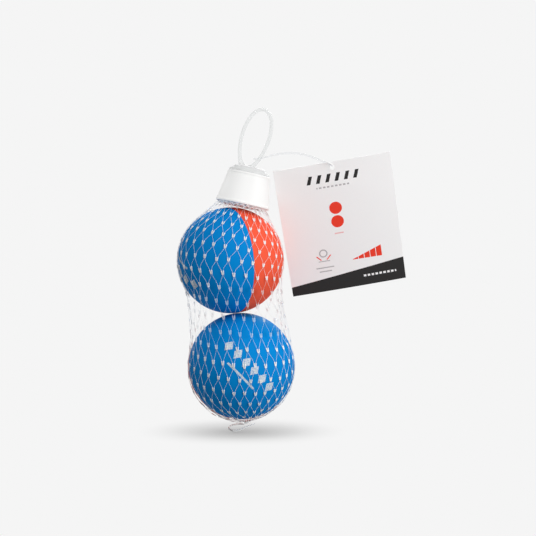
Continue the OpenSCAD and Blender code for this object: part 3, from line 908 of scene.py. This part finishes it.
def net_points(settings, profile):
    """The strands' middle lines, one for each knot and side, from one knot's foot to the next.

    A strand starts at a knot's foot, swings half a column sideways on a level-ended curve, and runs
    down through the next knot beside its partner, so that each knot is a Y. The partners come within
    0.1 mm of each other, and at most knots they don't meet. Returns the paths, their normals and the
    half widths and depths along them.
    """
    net = settings.net
    knot_s, knot_turn = knot_places(settings, profile)
    start_s, start_turn = knot_s[:-1, :, None], knot_turn[:-1, :, None]
    odd = np.arange(net.rows)[:, None] % 2
    stack = unit(LOWER_CENTRE - UPPER_CENTRE)
    strands = []
    for side in (-1, 1):
        # Every other row is half a column on, so one of the two next knots has this knot's own number
        neighbour = (np.arange(net.columns) + np.where(odd, max(side, 0), min(side, 0))) % net.columns
        pitch = np.take_along_axis(knot_s[1:], neighbour, 1)[..., None] - start_s
        swing = np.take_along_axis(knot_turn[1:], neighbour, 1)[..., None] - start_turn
        swing = (swing + math.pi) % (2 * math.pi) - math.pi
        free = 1 - net.knot_height / pitch
        q = np.concatenate([free * FREE_SHARES, free + (1 - free) * KNOT_SHARES], -1)
        in_free = np.clip(q / free, 0, 1)
        in_knot = np.clip((q - free) / (1 - free), 0, 1)
        s = start_s + net.knot_height / 2 + q * pitch
        turn = start_turn + swing * mix(in_free, smooth(in_free), SWING_EASE)
        point, normal = sleeve(settings, profile, s, turn)
        # Near the tail and the mouth, where the sleeve is narrow, knots are smaller
        reach = np.linalg.norm(np.cross(point - UPPER_CENTRE, stack), axis=-1)
        room = np.clip(reach / net.full_radius, LEAST_ROOM, 1.0)
        sideways = unit(np.cross(normal, unit(np.gradient(point, axis=-2))))
        arm = mix(ARM_START, 1.0, smooth(in_free)) - ARM_CLOSE * in_knot
        point = point - (side * arm * net.knot_spread * room)[..., None] * sideways
        foot = 1 - FOOT_LOSS * smooth((q - FOOT_START) / (1 - FOOT_START))
        swell = smooth(in_knot / KNOT_SHARES[0]) * foot
        size = mix(1.0, room, swell)
        width = mix(net.strand, net.knot_width, swell) * size
        depth = mix(net.strand * STRAND_FLATNESS, net.knot_depth, swell) * size
        strands.append((point, normal, width, depth))
    return [np.concatenate(part).reshape(-1, *part[0].shape[2:]) for part in zip(*strands)]


def clear_where_free(material, net, radius):
    """White net on a ball, and clearer where it hangs free, so that the pale background shows through it."""
    node = partial(add_node, material.node_tree)
    spot = node("TexCoord").outputs["Object"]
    from_upper = node("VectorMath", spot, tuple(UPPER_CENTRE), operation="DISTANCE")
    from_lower = node("VectorMath", spot, tuple(LOWER_CENTRE), operation="DISTANCE")
    nearer = node("Math", from_upper, from_lower, operation="MINIMUM")
    start, end = radius + net.clear_start, radius + net.clear_end
    vary_clearness(material, nearer, start, end, net.ball_clear, net.free_clear)


def make_net(settings):
    """The sleeve's strands and knots, as closed tubes in one mesh, replacing the coarser sleeve."""
    net = settings.net
    profile = sleeve_profile(settings)
    sides = 5
    points = sweep(*net_points(settings, profile), sides)
    count, samples = points.shape[:2]
    first = np.arange(count)[:, None] * samples * sides
    walls = (first[..., None] + grid_faces(samples, sides, False, True)).reshape(-1, 4)
    start_caps = first + np.arange(sides)[::-1]
    end_caps = first + (samples - 1) * sides + np.arange(sides)
    caps = np.concatenate([start_caps, end_caps])
    # Drawn strands are satin, with the shade drifting along them
    material = plastic_material(
        "polythene_net_extruded", net.colour, rough=0.42, ripple=3 * MM, ripple_depth=0.02 * MM,
        ior=1.1, gloss=0.2,
    )
    clear_where_free(material, net, profile["radius"])
    piece = make_piece(
        "net_mesh", points, [walls, caps], material, "package", math.radians(70))
    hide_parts("net_sleeve")


def pleated_tube(centre, axis, side, heights, radii, pleats, depth, wall):
    """A closed tube about an axis: its outer radius is r + depth cos(n a), and its inner one a wall less."""
    turn = full_turn(12 * pleats)
    outer = radii[:, None] + depth * np.cos(pleats * turn)
    inner = outer[::-1] - wall
    radius = np.concatenate([outer, inner])[..., None]
    height = np.concatenate([heights, heights[::-1]])[:, None, None]
    return centre + height * axis + radius * turned(turn, side, np.cross(axis, side))


def make_gather(settings):
    """The net's upper end, gathered in pleats between the closure and the plug's stem."""
    closure, net = settings.closure, settings.net
    low = closure.mouth_height - closure.gather_drop
    top = closure.low + closure.height - closure.gather_wall / 2
    # The rows stand closer at the foot, which shows
    rows, crowding = 22, 1.6
    heights = mix(low, top, np.linspace(0, 1, rows) ** crowding)
    # It follows the closure's inner wall, and goes straight down below it
    up = np.clip((heights - closure.low) / closure.height, 0, 1)
    room = closure.wall + closure.gather_gap + closure.pleat
    radii = mix(closure.low_radius, closure.top_radius, up) - room
    points = pleated_tube(
        UPPER_CENTRE, along(net.closure_lean), across(net.closure_lean), heights, radii, net.columns,
        closure.pleat, closure.gather_wall,
    )
    # Crushed strands lie close, so the folds read as soft grey lines
    material = plastic_material(
        "polythene_net_gathered", net.colour, rough=0.45, ripple=2 * MM, ripple_depth=0.03 * MM)
    faces = grid_faces(*points.shape[:2], True, True)
    piece = make_piece("net_gather", points, [faces], material, "package")
    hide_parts("net_neck")


# The film's middle line from its right end over its bow to its hidden end, from the lower ball's centre
CURL = np.array([
    (7.4, -4.0, -30.6), (4.6, -4.8, -31.6), (1.6, -5.4, -32.7), (-1.4, -5.6, -34.0), (-4.6, -5.0, -34.3),
    (-6.8, -2.0, -33.4), (-5.2, 1.2, -32.2), (-1.4, 2.2, -31.7), (1.6, 0.4, -31.5),
]) * MM


def curve_through(points, count):
    """A Catmull-Rom curve: (2B + (C-A)t + (2A-5B+4C-D)t^2 + (3B-A-3C+D)t^3) / 2 between B and C."""
    padded = np.concatenate([[2 * points[0] - points[1]], points, [2 * points[-1] - points[-2]]])
    spot = np.linspace(0, len(points) - 1, count)
    k = np.minimum(spot.astype(int), len(points) - 2)
    t = (spot - k)[:, None]
    a, b, c, d = padded[k], padded[k + 1], padded[k + 2], padded[k + 3]
    square, cube = 2 * a - 5 * b + 4 * c - d, 3 * b - a - 3 * c + d
    return (2 * b + (c - a) * t + square * t ** 2 + cube * t ** 3) / 2


def film_strip(net):
    """The strip of film: it stands on edge along its middle line and is widest at its bow.

    Its ends are rounded by the root of 1 - (2k - 1)^8.
    """
    count, sides, squareness, thinnest = 72, 10, 0.8, 0.03
    path = LOWER_CENTRE + curve_through(CURL, count)
    k = np.linspace(0, 1, count)
    ends = np.sqrt(np.clip(1 - (2 * k - 1) ** 8, thinnest, 1))
    width = mix(net.film_end, net.film_width, smooth(2 * k)) * ends
    normal = unit(np.cross(np.gradient(path, axis=0), UP))
    strip = sweep(path, normal, width, net.film_depth * ends, sides, squareness)
    caps = np.stack([np.arange(sides)[::-1], (count - 1) * sides + np.arange(sides)])
    return strip, grid_faces(count, sides, False, True), caps


def fused_stud(settings):
    """The stud of fused strands, on the line through both balls, with a flute for every second strand.

    Its radius is the net's times (top - loss smooth(1.4 k) + flare k^6) (1 + flute cos(n a)), with k
    from 0 at its top to 1 at its end.
    """
    net = settings.net
    top, loss, flare, flute = 1.1, 0.5, 0.15, 0.09
    rows, around = 14, 112
    stack = unit(LOWER_CENTRE - UPPER_CENTRE)
    side = unit(np.cross(stack, TO_VIEWER))
    k = np.linspace(0, 1, rows)
    start = settings.ball.radius + net.lift + net.bunch - net.stud_length / 3
    height = (start + net.stud_length * k)[:, None, None]
    turn = full_turn(around)
    radius = net.tail_radius * (top - loss * smooth(1.4 * k) + flare * k ** 6)
    fluted = radius[:, None] * (1 + flute * np.cos(net.columns / 2 * turn))
    wall = LOWER_CENTRE + height * stack + fluted[..., None] * turned(turn, side, np.cross(stack, side))
    poles = np.repeat(wall[[0, -1]].mean(1, keepdims=True), around, 1)
    stud = np.concatenate([poles[:1], wall, poles[1:]])
    return stud, grid_faces(rows + 2, around, False, True)


def make_curl(settings):
    """The net's lower end: a fluted stud of fused strands, and a strip of film that curls 0.4 mm below it."""
    points, groups = joined(film_strip(settings.net), fused_stud(settings))
    # Melted strands run together into a pale film, glossier than the net
    material = plastic_material(
        "polythene_film_fused", settings.net.film_colour, rough=0.35, ripple=1.6 * MM,
        ripple_depth=0.02 * MM, gloss=0.5,
    )
    piece = make_piece("net_curl", points, groups, material, "package", math.radians(60))
    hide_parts("net_tail")


# The closure and the loop

def make_closure(settings):
    """The tapered closure: a lathed wall with a soft lower lip and a small bead round its upper rim."""
    closure, net = settings.closure, settings.net
    low, top = closure.low, closure.low + closure.height
    low_r, top_r, wall = closure.low_radius, closure.top_radius, closure.wall
    bead, lip = closure.bead_height, closure.lip_height
    outline = [
        (low, low_r - wall / 13), (low + 0.75 * lip, low_r - wall / 9), (low + lip, low_r - wall / 3),
        (top - bead, top_r), (top - 0.75 * bead, top_r + wall / 11), (top, top_r),
        (top, top_r - wall), (low, low_r - wall),
    ]
    rounding_shares = np.array([0.35, 0.15, 0.15, 0.1, 0.1, 0.27, 0.23, 0.35])
    profile = rounded(outline, rounding_shares * wall)
    points = lathe(profile, UPPER_CENTRE, along(net.closure_lean), across(net.closure_lean))
    # The mould's polish leaves a soft, even sheen
    material = plastic_material(
        "polythene_closure_moulded", closure.colour, rough=0.4, ripple=5 * MM, ripple_depth=0.03 * MM,
        gloss=0.25,
    )
    faces = grid_faces(*points.shape[:2], True, True)
    piece = make_piece(
        "closure_sleeve", points, [faces], material, "package", math.radians(50))
    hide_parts("closure_cap")


def loop_path(settings, count):
    """The strap's middle line: the oval x = w/2 sin t (1 + f cos t), y = h/2 cos t, stood on the flange."""
    loop, net, closure = settings.loop, settings.net, settings.closure
    flange_top = closure.low + closure.height + loop.flange_height
    foot = UPPER_CENTRE + flange_top * along(net.closure_lean) + loop.shift * across(net.closure_lean)
    oval = loop.height + loop.sink
    turn = full_turn(count)
    x = (loop.width - loop.strap) / 2 * np.sin(turn) * (1 + loop.fullness * np.cos(turn))
    y = (oval - loop.strap) / 2 * np.cos(turn) + loop.height - oval / 2
    return foot + x[:, None] * across(loop.lean) + y[:, None] * along(loop.lean), turn


def closed_sweep(path, normal, width, depth, sides, power):
    """A sweep along a closed path: it is swept with its ends repeated, and the repeats are cut off."""
    pad = 2
    wrap = [np.concatenate([a[-pad:], a, a[:pad]]) for a in (path, normal, width, depth)]
    return sweep(*wrap, sides, power)[pad:-pad]


def milky_where_thick(material, axis, crown, loop):
    """Makes the plug milkier than the thin strap: clearness rises with the height along the plug's axis."""
    node = partial(add_node, material.node_tree)
    spot = node("TexCoord").outputs["Object"]
    from_ball = node("VectorMath", spot, tuple(UPPER_CENTRE), operation="SUBTRACT")
    height = node("VectorMath", from_ball, tuple(axis), operation="DOT_PRODUCT").outputs["Value"]
    vary_clearness(material, height, crown, crown + loop.strap, loop.milky, loop.clear)


def bake_modifiers(piece):
    """Replaces a piece's mesh by the one that its modifiers make."""
    shape = piece.evaluated_get(bpy.context.evaluated_depsgraph_get())
    mesh = bpy.data.meshes.new_from_object(shape)
    old = piece.data
    piece.modifiers.clear()
    piece.data = mesh
    mesh.name = piece.name
    bpy.data.meshes.remove(old)


def plug_body(settings):
    """The plug's stem and flange, lathed about the closure's axis."""
    loop, lean = settings.loop, settings.net.closure_lean
    seat = settings.closure.low + settings.closure.height
    foot, crown = seat - loop.stem_length, seat + loop.flange_height
    # The outline stops short of the axis, and its two ends are then put on it
    near_axis = loop.stem_radius / 12
    outline = [
        (foot, near_axis), (foot, loop.stem_radius), (seat, loop.stem_top), (seat, loop.flange_radius),
        (seat + loop.flange_rim, loop.flange_radius), (crown, loop.flange_top), (crown, near_axis),
    ]
    roundings = np.array([0.01, 0.8, 0.1, 0.2, 0.35, 0.9, 0.01]) * MM
    profile = rounded(outline, roundings)
    profile = np.concatenate([[[foot, 0.0]], profile[1:-1], [[crown, 0.0]]])
    body = lathe(profile, UPPER_CENTRE, along(lean), across(lean), 120)
    return body, grid_faces(*body.shape[:2], False, True)


def loop_strap(settings):
    """The loop's strap, which thickens towards its foot, where the mould fills it."""
    loop = settings.loop
    count, sides, squareness, fill_start = 240, 20, 0.62, 0.55
    path, turn = loop_path(settings, count)
    fill = 1 + loop.foot_growth * smooth((-np.cos(turn) - fill_start) / (1 - fill_start))
    normal = np.broadcast_to(-TO_VIEWER, path.shape)
    strap = closed_sweep(path, normal, loop.strap / 2 * fill, loop.depth / 2 * fill, sides, squareness)
    return strap, grid_faces(count, sides, True, True)


def make_loop(settings):
    """The clear plug, in one moulding: a flange on the closure, a tapered stem and the hang loop."""
    loop, closure = settings.loop, settings.closure
    points, groups = joined(plug_body(settings), loop_strap(settings))
    # Unpigmented plastic lets most of the light through and blurs what is behind it
    material = plastic_material(
        "polypropylene_natural_moulded", loop.colour, rough=0.24, ripple=6 * MM, ripple_depth=0.01 * MM,
        clear=loop.clear, ior=1.08, gloss=0.05,
    )
    crown = closure.low + closure.height + loop.flange_height
    milky_where_thick(material, along(settings.net.closure_lean), crown, loop)
    piece = make_piece("hang_loop", points, groups, material, "package", math.radians(60))
    # One remesh fuses flange and strap with small fillets, so that no wall shows inside the clear plastic
    fuse = piece.modifiers.new("fuse", "REMESH")
    fuse.mode = "VOXEL"
    fuse.voxel_size = loop.voxel
    fuse.use_smooth_shade = True
    ease = piece.modifiers.new("ease", "SMOOTH")
    ease.factor = 0.5
    ease.iterations = 4
    bake_modifiers(piece)
    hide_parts("loop_plug")


# The tag and its tie

def make_tie(settings):
    """The clear tie: a springy ring from round the loop's strap to the card's hole.

    Its middle line is strap + s (end - strap) + rise sin(pi s) up, with s = -b + (1 + b)(1 - cos t) / 2,
    and it stands off front and back by side |sin t|^0.4.
    """
    tag = settings.tag
    fine_count, count, sides, bluntness = 260, 180, 10, 0.4
    turn = full_turn(fine_count)
    end = HOLE_POINT + tag.tie_up * UP
    span = end - STRAP_POINT
    behind = tag.tie_behind / np.linalg.norm(span)
    s = mix(-behind, 1.0, (1 - np.cos(turn)) / 2)
    rise = tag.tie_rise * np.sin(math.pi * np.maximum(s, 0))
    stand = tag.tie_side * np.sign(np.sin(turn)) * np.abs(np.sin(turn)) ** bluntness
    path = STRAP_POINT + s[:, None] * span + rise[:, None] * UP - stand[:, None] * TO_VIEWER
    # The ring is walked in even steps, and its sharpest turns are eased
    even = np.linspace(0, 1, count, endpoint=False)
    closed = np.concatenate([path, path[:1]])
    walked = np.concatenate([[0], np.cumsum(np.linalg.norm(np.diff(closed, axis=0), axis=1))])
    path = np.stack([np.interp(even * walked[-1], walked, closed[:, k]) for k in range(3)], -1)
    for _ in range(2):
        path = (np.roll(path, 1, 0) + 2 * path + np.roll(path, -1, 0)) / 4
    radius = np.full(len(path), tag.tie_radius)
    points = closed_sweep(path, np.broadcast_to(UP, path.shape), radius, radius, sides, 1.0)
    # A clear filament hardly shows against white: it only bends the light a little
    material = plastic_material(
        "nylon_tie_clear", tag.tie_colour, rough=0.2, ripple=6 * MM, ripple_depth=0.005 * MM,
        clear=0.93, ior=1.06, gloss=0.0,
    )
    faces = grid_faces(count, sides, True, True)
    piece = make_piece("tag_tie_ring", points, [faces], material, "tie", math.radians(80))
    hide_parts("tag_tie")


def card_outline(tag, steps):
    """Points round the card's edge, side by side, with the corners among them, as x and y from the hole."""
    left, right = -tag.width / 2, tag.width / 2
    low, top = tag.hole_down - tag.height, tag.hole_down
    corners = np.array([(left, top), (left, low), (right, low), (right, top)])
    t = np.linspace(0, 1, steps, endpoint=False)[None, :, None]
    return mix(corners[:, None], np.roll(corners, -1, 0)[:, None], t).reshape(-1, 2)


def bow_at(tag, x):
    """How far the card's middle plane lies in front of its hole, at x from the hole: -bow (2x / width)^2."""
    return -tag.bow * (2 * x / tag.width) ** 2


def card_axes(tag):
    """The card's right and up directions in its plane, and its outward direction.

    Up is the part of +Z in the card's plane, rolled in the plane by the card's hang.
    """
    out = unit(CARD_NORMAL)
    level_up = unit(UP - (UP @ out) * out)
    level_right = np.cross(level_up, out)
    solid = point_array(frame["nodes"]["swing_tag"].data)
    top_right = solid[np.argmax(solid @ (level_up + level_right))] - HOLE_POINT
    corner_angle = math.atan2(tag.hole_down, tag.width / 2)
    roll = math.atan2(top_right @ level_up, top_right @ level_right) - corner_angle
    right = math.cos(roll) * level_right + math.sin(roll) * level_up
    return right, np.cross(out, right), out


def make_tag(settings):
    """The card: sections from the hole's wall over the front to the edge and back behind, all round the hole.

    A section point is hole + k (edge - hole) in the card's plane, and the plane bows back at its sides.
    """
    tag = settings.tag
    steps, rings, crowding, first_ring = 48, 40, 1.3, 0.004
    edge = card_outline(tag, steps)
    hole = unit(edge) * tag.hole_radius
    half, soft = tag.thickness / 2, tag.soft_edge
    inset = 1 - soft / np.linalg.norm(edge - hole, axis=1)
    shares = np.concatenate([[0.0], np.linspace(first_ring, 1, rings) ** crowding])
    front = [(hole + (edge - hole) * (k * inset)[:, None], half) for k in shares]
    rim = [(edge, half - soft), (edge, soft - half)]
    back = [(flat, -height) for flat, height in front[::-1]]
    sections = front + rim + back
    flat = np.stack([flat for flat, _ in sections])
    height = np.array([height for _, height in sections])[:, None] + bow_at(tag, flat[..., 0])
    right, top, out = card_axes(tag)
    points = HOLE_POINT + flat[..., :1] * right + flat[..., 1:] * top + height[..., None] * out
    faces = grid_faces(*points.shape[:2], True, True)
    piece = make_piece(
        "tag_card", points, [faces], card_material(tag), "tag", math.radians(35))
    local = (point_array(piece.data) - HOLE_POINT) @ np.stack([right, top, out], -1)
    facing = np.where(local[:, 2] > bow_at(tag, local[:, 0]), 1.0, 0.0)
    add_attribute(piece, "card", np.column_stack([local[:, :2] / MM, facing]))
    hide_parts("swing_tag")


# The stage

def make_stage(settings):
    """Camera, soft lights, an even pale world and a floor that keeps the pack's shadow."""
    stage = settings.stage
    scene = bpy.context.scene
    scene.view_settings.view_transform = "Standard"
    camera = bpy.data.objects.new("camera", bpy.data.cameras.new("camera"))
    scene.collection.objects.link(camera)
    camera.location = (stage.aim_x, -stage.distance, stage.aim_z)
    camera.rotation_euler = (math.pi / 2, 0, 0)
    camera.data.lens = camera.data.sensor_width * stage.distance / stage.view_width
    camera.data.clip_start = stage.distance / 50
    scene.camera = camera
    for name in ("right", "top", "back"):
        add_lamp(stage, name, (0.0, 0.0, stage.aim_z))
    # A small lamp with a narrow beam keeps the white closure's shaded side pale, and hardly meets the balls
    closure, lean = settings.closure, settings.net.closure_lean
    closure_middle = UPPER_CENTRE + (closure.low + closure.height / 2) * along(lean)
    add_lamp(stage, "left", closure_middle, stage.left_spread)
    world = bpy.data.worlds.new("pale_studio")
    scene.world = world
    world.use_nodes = True
    world.node_tree.nodes.clear()
    node = partial(add_node, world.node_tree)
    light = node("Background", (1, 1, 1, 1), stage.fill)
    pale = node("Background", hex_colour(stage.background), 1.0)
    node("OutputWorld", node("MixShader", seen_rays(node), light, pale))
    make_floor(stage)


def add_lamp(stage, name, target, spread=math.pi):
    """A round lamp with the stage's settings for its name, turned to a point."""
    lamp = bpy.data.objects.new(f"{name}_light", bpy.data.lights.new(f"{name}_light", "AREA"))
    bpy.context.scene.collection.objects.link(lamp)
    lamp.location = getattr(stage, f"{name}_place")
    lamp.rotation_euler = (Vector(target) - lamp.location).to_track_quat("-Z", "Y").to_euler()
    lamp.data.shape = "DISK"
    lamp.data.size = getattr(stage, f"{name}_size")
    lamp.data.energy = getattr(stage, f"{name}_power")
    lamp.data.spread = spread
    # Clear plastic shows the pale background through it, and no lamp
    lamp.visible_transmission = False


def seen_rays(node):
    """1 for rays that show the background: straight from the camera, in gloss, and through clear pieces."""
    rays = node("LightPath").outputs
    mirrored = node("Math", rays["Is Glossy Ray"], rays["Is Transmission Ray"], operation="MAXIMUM")
    return node("Math", rays["Is Camera Ray"], mirrored, operation="MAXIMUM")


def make_floor(stage):
    """A round floor of the background's own pale grey, which keeps the pack's soft contact shadow.

    Its shade is 1 - depth (1 - openness), where openness is how much of the sky a point sees past the
    pack, and depth falls to 0 at the shadow's edge, so that the floor runs into the background.
    """
    corners = 64
    centre = np.array([LOWER_CENTRE[0], stage.shadow_back, stage.floor_z])
    points = centre + stage.floor_radius * turned(full_turn(corners), RIGHT, -TO_VIEWER)
    mesh = bpy.data.meshes.new("floor")
    mesh.from_pydata(points.tolist(), [], [list(range(corners))])
    floor = bpy.data.objects.new("floor", mesh)
    bpy.context.scene.collection.objects.link(floor)
    material, node = new_material("pale_floor")
    spot = node("TexCoord").outputs["Object"]
    far = node("VectorMath", spot, tuple(centre), operation="DISTANCE")
    depth = node(
        "MapRange", far, stage.shadow_core, stage.shadow_edge, stage.shadow, 0.0,
        interpolation_type="SMOOTHSTEP",
    )
    openness = node("AmbientOcclusion", Distance=stage.shadow_reach, samples=24).outputs["AO"]
    closed = node("Math", 1.0, openness, operation="SUBTRACT")
    shaded = node("Math", depth, closed, operation="MULTIPLY")
    shade = node("Math", 1.0, shaded, operation="SUBTRACT")
    pale = node("Emission", hex_colour(stage.background), shade)
    node("OutputMaterial", node("MixShader", seen_rays(node), node("BsdfTransparent"), pale))
    mesh.materials.append(material)


# Operators and panel

class PACK_OT_balls(Operator):
    """Make both balls with their halves, stamps and bond rings"""
    bl_idname = "pack.balls"
    bl_label = "Balls"

    def execute(self, context):
        settings = context.scene.ball_pack
        make_ball("upper", UPPER_CENTRE, settings)
        make_ball("lower", LOWER_CENTRE, settings)
        return {"FINISHED"}


class PACK_OT_net(Operator):
    """Make the net sleeve, its gathered upper end and its curled lower end"""
    bl_idname = "pack.net"
    bl_label = "Net"

    def execute(self, context):
        settings = context.scene.ball_pack
        make_net(settings)
        make_gather(settings)
        make_curl(settings)
        return {"FINISHED"}


class PACK_OT_closure(Operator):
    """Make the tapered closure"""
    bl_idname = "pack.closure"
    bl_label = "Closure"

    def execute(self, context):
        make_closure(context.scene.ball_pack)
        return {"FINISHED"}


class PACK_OT_loop(Operator):
    """Make the clear plug with its hang loop"""
    bl_idname = "pack.loop"
    bl_label = "Hang loop"

    def execute(self, context):
        make_loop(context.scene.ball_pack)
        return {"FINISHED"}


class PACK_OT_tag(Operator):
    """Make the card tag and its clear tie"""
    bl_idname = "pack.tag"
    bl_label = "Tag"

    def execute(self, context):
        settings = context.scene.ball_pack
        make_tag(settings)
        make_tie(settings)
        return {"FINISHED"}


class PACK_OT_stage(Operator):
    """Make the camera, lights, world and floor"""
    bl_idname = "pack.stage"
    bl_label = "Stage"

    def execute(self, context):
        make_stage(context.scene.ball_pack)
        return {"FINISHED"}


OPERATORS = (PACK_OT_stage, PACK_OT_balls, PACK_OT_net, PACK_OT_closure, PACK_OT_loop, PACK_OT_tag)


class PACK_PT_panel(Panel):
    """Lists the pack's operators and settings"""
    bl_label = "Ball Pack"
    bl_space_type = "VIEW_3D"
    bl_region_type = "UI"
    bl_category = "Ball Pack"

    def draw(self, context):
        settings = context.scene.ball_pack
        for operator in OPERATORS:
            self.layout.operator(operator.bl_idname)
        for group in ("ball", "net", "closure", "loop", "tag", "stage"):
            box = self.layout.box()
            box.label(text=group.title())
            values = getattr(settings, group)
            for key in values.__annotations__:
                box.prop(values, key)


CLASSES = (
    BallSettings, NetSettings, ClosureSettings, LoopSettings, TagSettings, StageSettings, PackSettings,
    *OPERATORS, PACK_PT_panel,
)


def register():
    """Registers the classes and keeps the settings on the scene."""
    for kind in CLASSES:
        bpy.utils.register_class(kind)
    bpy.types.Scene.ball_pack = PointerProperty(type=PackSettings)


def unregister():
    """Removes the settings and the classes."""
    del bpy.types.Scene.ball_pack
    for kind in reversed(CLASSES):
        bpy.utils.unregister_class(kind)


def main():
    """Makes the whole pack, piece by piece."""
    register()
    bpy.ops.pack.stage()
    bpy.ops.pack.balls()
    bpy.ops.pack.net()
    bpy.ops.pack.closure()
    bpy.ops.pack.loop()
    bpy.ops.pack.tag()


if __name__ == "__main__":
    main()
